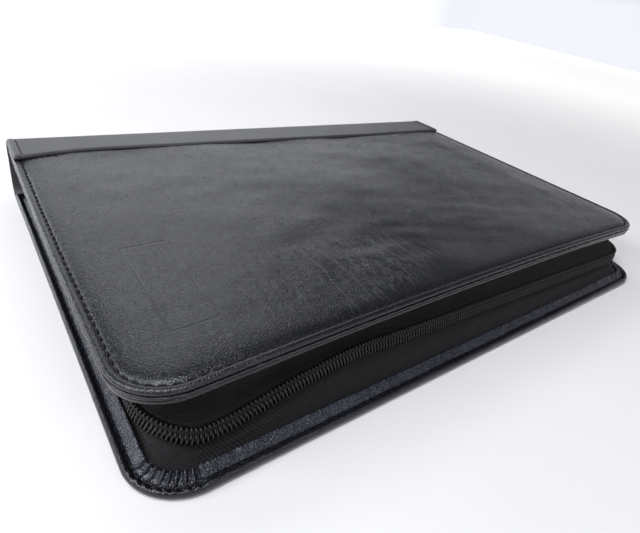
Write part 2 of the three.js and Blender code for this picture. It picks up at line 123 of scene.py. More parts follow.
def three_sides(panel, inset, far_end, side=60, arc=24, near=150, corner=None):
    """Stations down the left side, along the near side and up the right side of a panel, inset
    from its rim: columns x, y, nx, ny and the length along."""
    r = corner or max(RADIUS - inset, 0.3)
    left, right, low = panel["left"] + inset, panel["right"] - inset, panel["near"] + inset
    turn = np.linspace(0, np.pi / 2, arc + 1)
    down = np.linspace(0, 1, side, endpoint=False)
    inner = np.linspace(0, 1, near + 1)[1:-1]
    one, nil = np.ones_like, np.zeros_like
    parts = [
        (left * one(down), far_end + (low + r - far_end) * down, -one(down), nil(down)),
        (left + r - r * np.cos(turn), low + r - r * np.sin(turn), -np.cos(turn), -np.sin(turn)),
        (left + r + (right - left - 2 * r) * inner, low * one(inner), nil(inner), -one(inner)),
        (right - r + r * np.sin(turn), low + r - r * np.cos(turn), np.sin(turn), -np.cos(turn)),
        (right * one(down), low + r + (far_end - low - r) * (down + 1 / side), one(down), nil(down)),
    ]
    x, y, nx, ny = (np.concatenate(column) for column in zip(*parts))
    reach = (y - panel["near"]) / (panel["far"] - panel["near"])
    x = x - np.where(x < 0, panel["bow"] * np.sin(np.pi * reach), 0)
    run = np.concatenate([[0], np.cumsum(np.hypot(np.diff(x), np.diff(y)))])
    return {"x": x, "y": y, "nx": nx, "ny": ny, "s": run}


print("cover plan", LENGTH, "x", DEPTH, "mm, near middle", round(float(front_height(0, -117.5)), 1))

# %% [markdown]
# ## Making meshes
#
# Every surface is a grid of points. Its place along and across is kept in the attribute `flow`,
# in millimetres, for weaves and worn edges.


# %% Grids to objects
def grid_faces(rows, columns, wrap):
    """Quads (i, j), (i, j+1), (i+1, j+1), (i+1, j) of a grid."""
    j = np.arange(columns if wrap else columns - 1)
    i = np.arange(rows - 1)[:, None] * columns
    k = (j + 1) % columns
    return np.stack([i + j, i + k, i + columns + k, i + columns + j], axis=-1).reshape(-1, 4)


def mesh_object(name, points, faces, flow=None):
    """An object with its mesh from points in drawing millimetres and a list of faces."""
    mesh = bpy.data.meshes.new(name)
    place = (np.asarray(points).reshape(-1, 3) + SHIFT) * MM
    mesh.from_pydata(place.tolist(), [], [list(map(int, f)) for f in faces])
    work = bmesh.new()
    work.from_mesh(mesh)
    bmesh.ops.recalc_face_normals(work, faces=work.faces)
    work.to_mesh(mesh)
    work.free()
    mesh.polygons.foreach_set("use_smooth", [True] * len(mesh.polygons))
    if flow is not None:
        layer = mesh.attributes.new("flow", "FLOAT_VECTOR", "POINT")
        layer.data.foreach_set("vector", np.asarray(flow, dtype=np.float32).reshape(-1))
    obj = bpy.data.objects.new(name, mesh)
    bpy.context.scene.collection.objects.link(obj)
    return obj


def grid_object(name, points, wrap=False, caps=True, flow=None):
    """An object from a grid of points (rows, columns, 3), its first and last row closed."""
    rows, columns, _ = points.shape
    faces = list(grid_faces(rows, columns, wrap))
    if caps:
        faces += [np.arange(columns)[::-1], np.arange(columns) + (rows - 1) * columns]
    return mesh_object(name, points, faces, flow)


def sweep(name, line, out, z):
    """A closed profile carried along a line: point = line + normal * out, at height z. out and z
    hold one row for each station, or one row for all."""
    count = len(line["x"])
    out = np.broadcast_to(out, (count, np.shape(out)[-1]))
    z = np.broadcast_to(z, out.shape)
    x = line["x"][:, None] + line["nx"][:, None] * out
    y = line["y"][:, None] + line["ny"][:, None] * out
    across = np.concatenate([np.zeros((count, 1)),
                             np.cumsum(np.hypot(np.diff(out), np.diff(z)), axis=1)], axis=1)
    along = np.broadcast_to(line["s"][:, None], out.shape)
    flow = np.stack([along, across, z], axis=-1)
    return grid_object(name, np.stack([x, y, z], axis=-1), wrap=True, flow=flow)


def many(name, bases, axes, shape, faces, scales=None):
    """Copies of one small shape: point = base + shape . axes, joined in one mesh."""
    shape = np.asarray(shape, dtype=float)
    local = np.broadcast_to(shape, (len(bases), *shape.shape))
    if scales is not None:
        local = local * scales[:, None, :]
    points = bases[:, None, :] + np.einsum("npk,nkc->npc", local, axes)
    offset = np.arange(len(bases))[:, None, None] * len(shape)
    return mesh_object(name, points, (np.asarray(faces)[None] + offset).reshape(-1, 4))


def capsule(length, width, height, sides=8, rings=7):
    """A stitch: an ellipse section along X that narrows to both ends, arched by its height."""
    u = np.linspace(-1, 1, rings)[:, None]
    a = np.linspace(0, math.tau, sides, endpoint=False)[None, :]
    round_end = np.sqrt(np.clip(1 - np.abs(u) ** 3, 0.02, 1))
    x = u * length / 2 + 0 * a
    y = np.cos(a) * width / 2 * round_end
    z = np.sin(a) * width / 2 * round_end + height * (1 - u**2)
    return np.stack([x, y, z], axis=-1).reshape(-1, 3), grid_faces(rings, sides, True)


def finish_piece(obj, slot, *nodes):
    """The piece rides on the root and stands for its nodes, which are hidden. Its slot is not used."""
    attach(obj, "root")
    if nodes:
        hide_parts(*nodes)
    return obj


print("mesh helpers ready")

# %% [markdown]
# ## Camera
#
# The camera stands over the near left corner. Its lens is wide, so the corner looms.

# %% Camera from the photo's view
FOCAL_PX, PICTURE_WIDTH = 481.24, 640
CAMERA_AT = np.array([-191.811, -225.595, 155.944])
YAW, PITCH, ROLL = 0.750317, 0.542046, 0.187325
CENTRE_X_PX, CENTRE_Y_PX = 36.587, -0.425

forward = np.array([math.sin(YAW) * math.cos(PITCH), math.cos(YAW) * math.cos(PITCH),
                    -math.sin(PITCH)])
level = np.array([math.cos(YAW), -math.sin(YAW), 0])
rise = np.cross(level, forward)
rightward = math.cos(ROLL) * level + math.sin(ROLL) * rise
upward = -math.sin(ROLL) * level + math.cos(ROLL) * rise

lens = bpy.data.cameras.new("camera")
lens.sensor_width = 36
lens.lens = 36 * FOCAL_PX / PICTURE_WIDTH
lens.shift_x = -CENTRE_X_PX / PICTURE_WIDTH
lens.shift_y = CENTRE_Y_PX / PICTURE_WIDTH
lens.clip_start, lens.clip_end = 0.01, 50
camera = bpy.data.objects.new("camera", lens)
bpy.context.scene.collection.objects.link(camera)
pose = np.eye(4)
pose[:3, 0], pose[:3, 1], pose[:3, 2] = rightward, upward, -forward
pose[:3, 3] = (CAMERA_AT + SHIFT) * MM
camera.matrix_world = Matrix(pose.tolist())
bpy.context.scene.camera = camera
print("lens", round(lens.lens, 2), "mm")

# %% [markdown]
# ## Front cover
#
# One padded leather skin. Its rim is a roll, a sewn channel dips inside it, and the padding
# swells from there. Under the spine's band it goes down again.

# %% Front cover
# Section from the underside to the crown: inset from the rim and height over it
FRONT_SECTION = {
    "inset": [108, 60, 9, 3, 1.2, 0.8, 0.38, 0.12, 0.0, 0.0, 0.14, 0.42, 0.9, 1.5, 2.1, 2.6, 3.0,
              3.25, 3.45, 3.7, 4.1, 4.7, 5.5, 6.6, 8, 10, 12.5, 15.5, 19, 23],
    "height": [-2.5, -2.5, -2.5, -2.45, -2.2, -1.95, -1.7, -1.35, -0.9, -0.45, -0.05, 0.27, 0.52,
               0.64, 0.58, 0.38, 0.08, -0.16, -0.26, -0.14, 0.14, 0.42, 0.68, 0.9, 1.07, 1.22,
               1.33, 1.42, 1.47, 1.5],
}


def crown_relief(x, y, inset):
    """Slow unevenness of the padded skin, growing away from the rim."""
    grow = smooth((inset - 5) / 20)
    slow = 0.30 * ripple(x, y, 75, 3) + 0.10 * ripple(x, y, 26, 5)
    ridge = 0.35 * bump_at(x, 142, 7) * smooth((y + 100) / 60)
    waves = 0.16 * ripple(x * 0.35, y + 0.25 * x, 13, 8) * bump_at(y, -78, 42) * bump_at(x, 5, 75)
    return grow * (slow + ridge + waves)


def cover_top(x, y, inset, height):
    """The skin's height: rim height plus section and relief, low under the spine's band."""
    under_band = smooth((y - band_edge(x) + 2.2) / 2.4)
    above = np.maximum(height, 0) + crown_relief(x, y, inset) * (inset > 4)
    return front_height(x, y) + np.where(height < -0.5, height,
                                         np.minimum(height, 0) + above * (1 - under_band))


def rim_loop(panel, inset, far_steps=150):
    """A closed loop round a panel at an inset."""
    line = three_sides(panel, inset, panel["far"] - inset)
    share = np.linspace(0, 1, far_steps + 1)[1:-1]
    x = np.concatenate([line["x"], line["x"][-1] + (line["x"][0] - line["x"][-1]) * share])
    y = np.concatenate([line["y"], np.full(far_steps - 1, panel["far"] - inset)])
    return x, y


front_panel = {**FRONT, "far": FRONT["far"] - SKIN - GAP}
crown_insets = np.linspace(25.5, 110, 56)
insets = np.concatenate([FRONT_SECTION["inset"], crown_insets])
heights = np.concatenate([FRONT_SECTION["height"], np.full(56, PADDING)])
loops = []
for inset, height in zip(insets, heights):
    x, y = rim_loop(front_panel, inset)
    loops.append(np.stack([x, y, cover_top(x, y, inset, height)], axis=-1))
front_points = np.array(loops)
front_flow = np.stack([front_points[..., 0], front_points[..., 1],
                       np.broadcast_to(insets[:, None], front_points.shape[:2])], axis=-1)
front_leather = grid_object("front_leather", front_points, wrap=True, flow=front_flow)
finish_piece(front_leather, "leather", "front_cover")
print("front cover", len(front_leather.data.polygons), "faces")

# %% [markdown]
# Under the rim lie two more rolls: a glossy crinkled one, and a flat matt one that the gusset
# hangs from.

# %% Beads under the front cover
bead_line = three_sides(FRONT, 0, FRONT["far"] - SPINE_ROUND, side=150, arc=60, near=420)
BEAD_OUT = np.array([-12.6, -1.3, -0.75, -0.3, 0.0, 0.16, 0.2, 0.12, -0.1, -0.42, -0.75, -0.8,
                     -0.5, -0.36, -0.34, -0.42, -0.8, -1.4, -12.6])
BEAD_Z = np.array([-2.8, -2.6, -2.1, -1.95, -2.05, -2.35, -2.75, -3.1, -3.38, -3.55, -3.68, -3.9,
                   -4.05, -4.4, -5.0, -5.6, -5.95, -BEAD_FOOT, -BEAD_FOOT])
rim_z = front_height(bead_line["x"], bead_line["y"])[:, None]
crinkle = (0.10 * ripple(bead_line["s"], 0 * bead_line["s"], 5.5, 21)
           + 0.06 * ripple(bead_line["s"], 0 * bead_line["s"], 2.2, 22))[:, None]
on_bead = bump_at(BEAD_Z, -2.7, 0.7)[None]
sag = 0.18 * ripple(bead_line["s"], 0 * bead_line["s"], 60, 23)[:, None]
front_beads = sweep("front_edge_rolls", bead_line, BEAD_OUT[None] + crinkle * on_bead,
                    rim_z + BEAD_Z[None] + sag * (BEAD_Z < -3.7)[None])
finish_piece(front_beads, "satin_leather", "front_edge_binding")
print("front beads", len(front_beads.data.polygons), "faces")

# %% [markdown]
# ## Back cover
#
# The case rests on it. It reaches further out at the near side. Its rim is a roll, with a sewn
# channel inside it, and a turned-in satin strip climbs from there to the gusset. Both are
# gathered in pleats round the near corners.

# %% Pleats
PLEATS_EACH = 9


def pleat_wave(panel_line, phase=0.0):
    """Sharp radial pleats, 0..1, only round the near corners."""
    nx, ny = panel_line["nx"], panel_line["ny"]
    turn = np.arctan2(-ny, np.abs(nx))
    in_corner = smooth((turn - 0.02) / 0.2) * smooth((np.pi / 2 + 0.25 - turn) / 0.2)
    in_corner = in_corner * ((turn > 0.01) & (turn < np.pi / 2 - 0.01))
    uneven = 0.9 * np.sin(5 * turn + 1) + 0.5 * np.sin(13 * turn + phase)
    wave = 0.5 + 0.5 * np.sin(PLEATS_EACH * 4 * turn + uneven + phase)
    return in_corner * (1 - wave**1.6)


# %% Back cover
BACK_SECTION = {
    "inset": [108, 60, 20, 4.5, 2.4, 1.1, 0.45, 0.1, 0.0, 0.1, 0.4, 0.85, 1.35, 1.8, 2.2, 2.5, 2.75,
              3.1, 3.6, 4.2, 8, 40, 108],
    "height": [0, 0, 0, 0, 0.04, 0.3, 0.8, 1.5, 2.2, 2.9, 3.5, 3.95, 4.18, 4.1, 3.75, 3.2, 2.7,
               2.45, 2.6, 3.2, 3.4, 3.4, 3.4],
}
back_panel = {**BACK, "far": BACK["far"] - SKIN - GAP}
loops = []
for inset, height in zip(BACK_SECTION["inset"], BACK_SECTION["height"]):
    line = three_sides(back_panel, inset, back_panel["far"] - inset, side=70, arc=96, near=260)
    share = np.linspace(0, 1, 101)[1:-1]
    x = np.concatenate([line["x"], line["x"][-1] + (line["x"][0] - line["x"][-1]) * share])
    y = np.concatenate([line["y"], np.full(99, back_panel["far"] - inset)])
    fold = np.concatenate([pleat_wave(line), np.zeros(99)])
    shown = bump_at(inset, 2.6, 1.1) * (height > 2)
    lump = 0.12 * ripple(x, y, 14, 31) * bump_at(inset, 0.8, 1.2) * (height > 1)
    over_band = (height < 2.4) & (y > BACK["far"] - LOWER_BAND - 0.3) & (inset > 0.6)
    z = height - 1.2 * fold * shown + lump
    z = np.where(over_band, np.maximum(z, SKIN + GAP), z)
    loops.append(np.stack([x, y, z], axis=-1))
back_points = np.array(loops)
back_insets = np.array(BACK_SECTION["inset"])
back_flow = np.stack([back_points[..., 0], back_points[..., 1],
                      np.broadcast_to(back_insets[:, None], back_points.shape[:2])], axis=-1)
back_leather = grid_object("back_leather", back_points, wrap=True, flow=back_flow)
finish_piece(back_leather, "leather", "back_cover")
print("back cover", len(back_leather.data.polygons), "faces")

# %% Turned-in strip
strip_line = three_sides(BACK, 3.5, GUSSET_END + 4, side=120, arc=96, near=420)
STRIP_OUT = np.array([0.0, 0.0, -0.35, -0.9, -1.7, -2.6, -3.5, -4.15, -4.3, -4.3])
STRIP_Z = np.array([2.75, 3.25, 3.75, 4.2, 4.75, 5.35, 5.95, 6.3, 6.1, 2.75])
strip_fold = pleat_wave(strip_line, 0.6)[:, None]
wear = (0.10 * ripple(strip_line["s"], 0 * strip_line["s"], 7, 41)
        + 0.05 * ripple(strip_line["s"], 0 * strip_line["s"], 2.4, 42))[:, None]
upper = (STRIP_Z > 3)[None]
strip_z = STRIP_Z[None] - upper * strip_fold * 1.7 + upper * wear * 0.8
strip_out = STRIP_OUT[None] + upper * wear * 0.6
back_strip = sweep("back_edge_strip", strip_line, strip_out, strip_z)
finish_piece(back_strip, "satin_leather", "back_edge_binding")
print("strip", len(back_strip.data.polygons), "faces")

# %% [markdown]
# ## Spine
#
# One stiff leather wrap round the far side. Its ends are turned over in a roll and sewn.

# %% Spine
ends = np.array([0, 0.25, 0.6, 1.1, 1.7, 2.3, 2.9, 3.5, 4.1, 4.6, 5.1, 5.7, 6.6, 8, 10, 13, 17])
between = np.linspace(22, LENGTH - 22, 90)
spine_x = FRONT["left"] + np.concatenate([ends, between, LENGTH - ends[::-1]])
from_end = np.minimum(spine_x - FRONT["left"], FRONT["right"] - spine_x)
relief = (0.30 * bump_at(from_end, 1.9, 1.2) - 0.35 * bump_at(from_end, 4.3, 0.55)
          - 1.1 * np.clip(1 - from_end / 1.1, 0, 1) ** 2)


def spine_section(x, grow):
    """Outer line of the wrap for one x, moved out by grow: y and z of the band, the rounded
    back and the lower band."""
    top = float(front_height(x, FRONT["far"])) + GAP + SKIN
    edge = float(band_edge(np.array([x]))[0])
    edge_z = float(front_height(x, edge)) + GAP
    outer = FRONT["far"] + SPINE_BULGE
    turn = np.linspace(0, np.pi / 2, 12)
    r = SPINE_ROUND
    lead = np.array([[edge + 0.1, edge_z], [edge - 0.1, edge_z + 0.7], [edge + 0.1, edge_z + 1.4],
                     [edge + 0.6, edge_z + 2.0 + 0.5 * grow], [edge + 1.5, edge_z + SKIN + grow]])
    flat_y = np.linspace(edge + 3, outer - r, 12)[:, None]
    flat_z = edge_z + SKIN + grow + (top - edge_z - SKIN) * (flat_y - edge) / (outer - r - edge)
    upper = np.stack([outer - r + (r + grow) * np.sin(turn), top - r + (r + grow) * np.cos(turn)], 1)
    lower = np.stack([outer - r + (r + grow) * np.cos(turn), r - (r + min(grow, 0)) * np.sin(turn)], 1)
    foot = np.array([[BACK["far"] - 10, -min(grow, 0)], [BACK["far"] - LOWER_BAND, -min(grow, 0)]])
    return np.concatenate([lead, np.concatenate([flat_y, flat_z], 1)[:-1], upper, lower, foot])


def spine_loop(x, grow):
    outer = spine_section(x, grow)
    inner = spine_section(x, -SKIN)[5:][::-1]
    inner[-1] = [outer[0, 0] + 2, outer[0, 1]]
    loop = np.concatenate([outer, inner])
    lean = LEAN * (1 - loop[:, 1] / HEIGHT)
    return np.stack([x - lean, loop[:, 0], loop[:, 1]], axis=-1)


spine_points = np.array([spine_loop(x, g) for x, g in zip(spine_x, relief)])
spine_flow = np.stack([spine_points[..., 0], spine_points[..., 1],
                       np.broadcast_to(from_end[:, None], spine_points.shape[:2])], axis=-1)
spine_wrap = grid_object("spine_wrap", spine_points, wrap=True, flow=spine_flow)
finish_piece(spine_wrap, "leather", "spine")
print("spine", len(spine_wrap.data.polygons), "faces")

# %% [markdown]
# ## Gusset
#
# Two strips of woven cloth between the covers, with the zip between them. The upper strip hangs
# from the matt roll and sinks in. The lower one slants out to the turned-in strip.

# %% Gusset lines
steps = {"side": 110, "arc": 40, "near": 300}
upper_edge = three_sides(FRONT, GUSSET_INSET, GUSSET_END, **steps, corner=GUSSET_CORNER)
lower_edge = three_sides(BACK, FLANGE, GUSSET_END, **steps)
gusset_top = front_height(upper_edge["x"], upper_edge["y"]) - BEAD_FOOT + 0.35
gusset_foot = BACK_BOARD + 0.4
along = upper_edge["s"] / upper_edge["s"][-1]
window = np.ones(21) / 21
level_share = np.interp(along, ZIP_LEVEL["along"], ZIP_LEVEL["level"])
padded_share = np.pad(level_share, 10, mode="edge")
level_share = np.convolve(padded_share, window, mode="valid")
zip_z = gusset_foot + (gusset_top - gusset_foot) * level_share


def wall_point(z, out):
    """Points of the slanting wall: plan mixed between both edges by height, moved by out."""
    share = (gusset_top[:, None] - z) / (gusset_top[:, None] - gusset_foot)
    x = upper_edge["x"][:, None] * (1 - share) + lower_edge["x"][:, None] * share
    y = upper_edge["y"][:, None] * (1 - share) + lower_edge["y"][:, None] * share
    nx, ny = upper_edge["nx"][:, None], upper_edge["ny"][:, None]
    return np.stack([x + nx * out, y + ny * out, z + 0 * x], axis=-1)


def cloth_wall(name, top, foot, sink, seed, rows=22):
    """A strip of cloth from top to foot: its front face sinks in, its back face is a wall
    thickness behind."""
    down = np.linspace(0, 1, rows)
    z = top[:, None] + (foot - top)[:, None] * down[None]
    s = upper_edge["s"][:, None]
    slack = (0.35 * ripple(s, 40 * down[None], 38, seed) + 0.16 * ripple(s, 30 * down[None], 13, seed + 1))
    out = -np.interp(down, sink["down"], sink["in"])[None] + slack * np.sin(np.pi * down)[None]
    face = wall_point(z, out)
    rear = wall_point(z, out - GUSSET_WALL)
    length = np.broadcast_to(s, z.shape)
    flow = np.stack([length, top[:, None] - z, np.broadcast_to(down[None], z.shape)], axis=-1)
    points = np.concatenate([face, rear[:, ::-1]], axis=1)
    flows = np.concatenate([flow, flow[:, ::-1]], axis=1)
    return grid_object(name, points, wrap=True, flow=flows)


TAPE_FOOT = COIL_HALF + 2.6
upper_cloth = cloth_wall("gusset_upper_cloth", gusset_top, zip_z + COIL_HALF - 0.1,
                         {"down": [0, 0.25, 0.55, 0.85, 1], "in": [0.6, 2.2, 2.9, 2.0, 0.9]}, 51)
finish_piece(upper_cloth, "gusset_fabric", "gusset_upper")
lower_cloth = cloth_wall("gusset_lower_cloth", zip_z - TAPE_FOOT + 1.2, np.full_like(zip_z, gusset_foot),
                         {"down": [0, 0.15, 0.4, 0.75, 1], "in": [3.6, 3.5, 2.9, 1.9, 0.3]}, 55)
finish_piece(lower_cloth, "gusset_fabric", "gusset_lower")
print("cloth", len(upper_cloth.data.polygons) + len(lower_cloth.data.polygons), "faces")

# %% [markdown]
# ## Zip
#
# The tapes lie behind two rows of nylon coil. Each turn is a bent wire, and the turns of both
# rows mesh. A sewn cord lies over the upper row.

# %% Tapes
zip_at = wall_point(zip_z[:, None], np.zeros((len(zip_z), 1)))[:, 0]
zip_line = {"x": zip_at[:, 0], "y": zip_at[:, 1], "nx": upper_edge["nx"], "ny": upper_edge["ny"],
            "s": np.concatenate([[0], np.cumsum(np.hypot(*np.diff(zip_at[:, :2], axis=0).T))])}


def tape(name, side, node):
    """A tape behind one coil row. The lower one goes on below it and folds back."""
    reach = COIL_HALF + (2.4 if side < 0 else 0.2)
    out = np.array([-3.6, -2.6, -2.3, -2.2, -2.3, -3.6])
    z = side * np.array([0.15, 0.15, 1.5, reach - 0.8, reach, reach])
    obj = sweep(name, zip_line, out[None], zip_z[:, None] + z[None])
    return finish_piece(obj, "gusset_fabric", node)


tape_above = tape("zip_tape_above", 1, "zip_tape_upper")
tape_below = tape("zip_tape_below", -1, "zip_tape_lower")


# %% Coils
def along_line(line, heights, places):
    """Position, tangent, height and outward normal of a line at lengths along it."""
    at = [np.interp(places, line["s"], column) for column in
          (line["x"], line["y"], heights, line["nx"], line["ny"])]
    position = np.stack(at[:3], axis=-1)
    normal = np.stack([at[3], at[4], 0 * at[3]], axis=-1)
    normal /= np.linalg.norm(normal, axis=1, keepdims=True)
    ahead = np.stack([np.interp(places + 0.5, line["s"], column) for column in
                      (line["x"], line["y"], heights)], axis=-1)
    tangent = ahead - position
    tangent /= np.maximum(np.linalg.norm(tangent, axis=1, keepdims=True), 1e-9)
    across = np.cross(normal, tangent)
    across *= np.where(across[:, 2:] < 0, -1.0, 1.0)
    return position, np.stack([tangent, across, normal], axis=1)


def wire_shape(path, radius, sides=6):
    """A tube round a short path of (along, across, out) points, with open ends."""
    path = np.asarray(path, dtype=float)
    ahead = np.gradient(path, axis=0)
    ahead /= np.linalg.norm(ahead, axis=1, keepdims=True)
    side = np.cross(ahead, [1.0, 0.05, 0.1])
    side /= np.linalg.norm(side, axis=1, keepdims=True)
    other = np.cross(ahead, side)
    a = np.linspace(0, math.tau, sides, endpoint=False)[None, :, None]
    radius = np.reshape(radius, (-1, 1, 1))
    points = path[:, None] + radius * (np.cos(a) * side[:, None] + np.sin(a) * other[:, None])
    return points.reshape(-1, 3), grid_faces(len(path), sides, True)


TURN = {"along": [-0.35, -0.3, -0.24, -0.16, -0.08, 0.0, 0.03, 0.05, 0.06, 0.1],
        "across": [3.0, 3.6, 3.8, 3.4, 2.5, 1.3, 0.3, -0.7, -1.1, -0.8],
        "out_above": [-1.7, -1.0, -0.3, 0.15, -0.4, -0.35, 0.35, 0.3, -0.4, -1.5],
        "out_below": [-1.7, -0.9, -0.1, 0.5, 0.45, 0.1, -0.35, -0.6, -1.1, -1.6],
        "wire_above": [0.27, 0.3, 0.34, 0.34, 0.3, 0.36, 0.46, 0.46, 0.38, 0.3],
        "wire_below": [0.27, 0.34, 0.42, 0.46, 0.44, 0.38, 0.32, 0.3, 0.3, 0.3]}
zip_length = zip_line["s"][-1]


def coil(name, side, node):
    """One row of the coil, its turns a pitch apart and half a pitch off the other row's."""
    start = COIL_PITCH * (0.6 if side > 0 else 1.1)
    places = np.arange(start, zip_length - 1.5, COIL_PITCH)
    bases, axes = along_line(zip_line, zip_z, places)
    row = "above" if side > 0 else "below"
    path = np.stack([TURN["along"], TURN["across"], TURN["out_" + row]], axis=-1)
    shape, faces = wire_shape(path, TURN["wire_" + row])
    axes = axes * np.array([1.0, side, 1.0])[None, :, None]
    obj = many(name, bases, axes, shape, faces)
    return finish_piece(obj, "zip_nylon", node)


coil_above = coil("zip_coil_above", 1, "zip_coil_upper")
coil_below = coil("zip_coil_below", -1, "zip_coil_lower")

CORD_OUT = np.array([-1.2, -0.1, 0.15, 0.2, 0.15, -0.1, -1.2])
CORD_Z = np.array([1.15, 1.2, 1.45, 2.0, 2.55, 2.85, 2.9])
coil_sewing = sweep("zip_sewing", zip_line, CORD_OUT[None], zip_z[:, None] + CORD_Z[None])
finish_piece(coil_sewing, "gusset_fabric")
print("coil", len(coil_above.data.polygons) * 2, "faces")

# %% [markdown]
# ## End tabs
#
# Where the gusset ends, a soft leather bellows runs on to the spine, with folds along it.


# %% End tabs
def end_tab(name, side, node):
    """Folds along Y: the wall's depth is a sharpened sine of its height, reaching back further at
    its foot."""
    edge_x = FRONT["left"] + GUSSET_INSET if side < 0 else FRONT["right"] - GUSSET_INSET
    edge_x -= BOW * 0.6 if side < 0 else 0
    top = float(front_height(edge_x, GUSSET_END)) - BEAD_FOOT + 0.4
    foot = 4.6
    share = np.linspace(0, 1, 50)
    run = np.linspace(0, 1, 40)[:, None]
    z = foot + (top - foot) * share[None] + 0 * run
    fold = np.abs(np.sin(np.pi * 3.5 * share)) ** 0.7
    depth = 1.2 + 2.0 * (1 - fold)[None] * (0.6 + 0.6 * run) + 0.4 * np.sin(np.pi * run)
    reach = 53 + (30 - 53) * share[None]
    y = GUSSET_END + 0.3 + reach * run
    settle = 0.3 * ripple(y, z, 16, 71)
    face = np.stack([edge_x - side * (depth + settle), y, z], axis=-1)
    rear = np.stack([edge_x - side * (depth + settle + 1.2), y, z], axis=-1)
    points = np.concatenate([face, rear[:, ::-1]], axis=1)
    flow = np.stack([points[..., 1], points[..., 2], 0 * points[..., 0]], axis=-1)
    return finish_piece(grid_object(name, points, wrap=True, flow=flow), "satin_leather", node)


tab_left = end_tab("end_tab_left_leather", -1, "end_tab_left")
tab_right = end_tab("end_tab_right_leather", 1, "end_tab_right")
print("tabs", len(tab_left.data.polygons), "faces each")

# %% [markdown]
# ## Sewing
#
# Every row of stitches is one small arched shape, repeated along its seam.

# %% Stitches
FRONT_PITCH, FRONT_STITCH = 4.4, 3.3


def stitch_row(name, line, heights, pitch, length, width, out, seed, skew=0.05):
    """Stitches along a line, each turned a little off it."""
    places = np.arange(pitch, line["s"][-1] - pitch / 2, pitch)
    rng = np.random.default_rng(seed)
    places = places + rng.uniform(-0.15, 0.15, len(places))
    bases, axes = along_line(line, heights, places)
    tangent, across, normal = axes[:, 0], axes[:, 1], axes[:, 2]
    flat = np.cross(tangent, [0, 0, 1.0])
    turn = rng.uniform(-skew, skew, len(places))[:, None] + skew
    ahead = tangent + turn * flat
    ahead /= np.linalg.norm(ahead, axis=1, keepdims=True)
    side = np.cross([0, 0, 1.0], ahead)
    up = np.cross(ahead, side)
    shape, faces = capsule(length, width, width * 0.3)
    bases = bases + normal * out
    return finish_piece(many(name, bases, np.stack([ahead, side, up], axis=1), shape, faces), "zip_nylon")


front_seam = three_sides(FRONT, STITCH_INSET, 86, side=120, arc=30, near=200)
front_stitches = stitch_row("front_stitches", front_seam,
                            front_height(front_seam["x"], front_seam["y"]) - 0.12,
                            FRONT_PITCH, FRONT_STITCH, 0.75, 0, 81, 0.16)
back_seam = three_sides(BACK, 3.05, FRONT["far"] - 22, side=120, arc=30, near=200)
back_stitches = stitch_row("back_stitches", back_seam, np.full(len(back_seam["x"]), 2.62),
                           FRONT_PITCH, FRONT_STITCH, 0.55, 0, 82)


def spine_seam(name, from_left, seed):
    """Stitches round one end of the spine, from the band's edge over its rounded back."""
    x = FRONT["left"] + from_left if from_left > 0 else FRONT["right"] + from_left
    outline = spine_section(x, -0.22)[4:-2]
    steps = np.concatenate([[0], np.cumsum(np.hypot(*np.diff(outline, axis=0).T))])
    places = np.arange(2.5, steps[-1] - 2, 3.6)
    y, z = np.interp(places, steps, outline[:, 0]), np.interp(places, steps, outline[:, 1])
    y2 = np.interp(places + 0.5, steps, outline[:, 0])
    z2 = np.interp(places + 0.5, steps, outline[:, 1])
    bases = np.stack([x - LEAN * (1 - z / HEIGHT), y, z], axis=-1)
    ahead = np.stack([0 * y, y2 - y, z2 - z], axis=-1)
    ahead /= np.linalg.norm(ahead, axis=1, keepdims=True)
    side = np.broadcast_to([1.0, 0, 0], ahead.shape)
    up = np.cross(side, ahead)
    shape, faces = capsule(2.7, 0.5, 0.15)
    return finish_piece(many(name, bases, np.stack([ahead, side, up], axis=1), shape, faces), "zip_nylon")


spine_stitches_left = spine_seam("spine_stitches_left", 4.3, 83)
spine_stitches_right = spine_seam("spine_stitches_right", -4.3, 84)
print("stitches", len(front_stitches.data.polygons), "faces on the front")

# %% [markdown]
# ## Materials
#
# A small class lets shader values be added and multiplied like numbers.


# %% Shader arithmetic
class Value:
    """A shader socket with arithmetic."""

    def __init__(self, shader, socket):
        self.shader, self.socket = shader, socket

    def _math(self, kind, *others):
        node = self.shader.tree.nodes.new("ShaderNodeMath")
        node.operation = kind
        for slot_in, item in zip(node.inputs, others):
            self.shader.feed(slot_in, item)
        return Value(self.shader, node.outputs[0])

    def __add__(self, other):
        return self._math("ADD", self, other)

    def __radd__(self, other):
        return self._math("ADD", other, self)

    def __sub__(self, other):
        return self._math("SUBTRACT", self, other)

    def __rsub__(self, other):
        return self._math("SUBTRACT", other, self)

    def __mul__(self, other):
        return self._math("MULTIPLY", self, other)

    def __rmul__(self, other):
        return self._math("MULTIPLY", other, self)

    def __truediv__(self, other):
        return self._math("DIVIDE", self, other)

    def __pow__(self, other):
        return self._math("POWER", self, other)

    def abs(self):
        return self._math("ABSOLUTE", self)

    def sin(self):
        return self._math("SINE", self)

    def max(self, other):
        return self._math("MAXIMUM", self, other)

    def min(self, other):
        return self._math("MINIMUM", self, other)

    def ramp(self, low, high, to_low=0.0, to_high=1.0):
        """to_low below low, to_high above high, a smooth step between."""
        node = self.shader.tree.nodes.new("ShaderNodeMapRange")
        node.interpolation_type = "SMOOTHSTEP"
        for slot_in, item in zip(node.inputs, (self, low, high, to_low, to_high)):
            self.shader.feed(slot_in, item)
        return Value(self.shader, node.outputs[0])


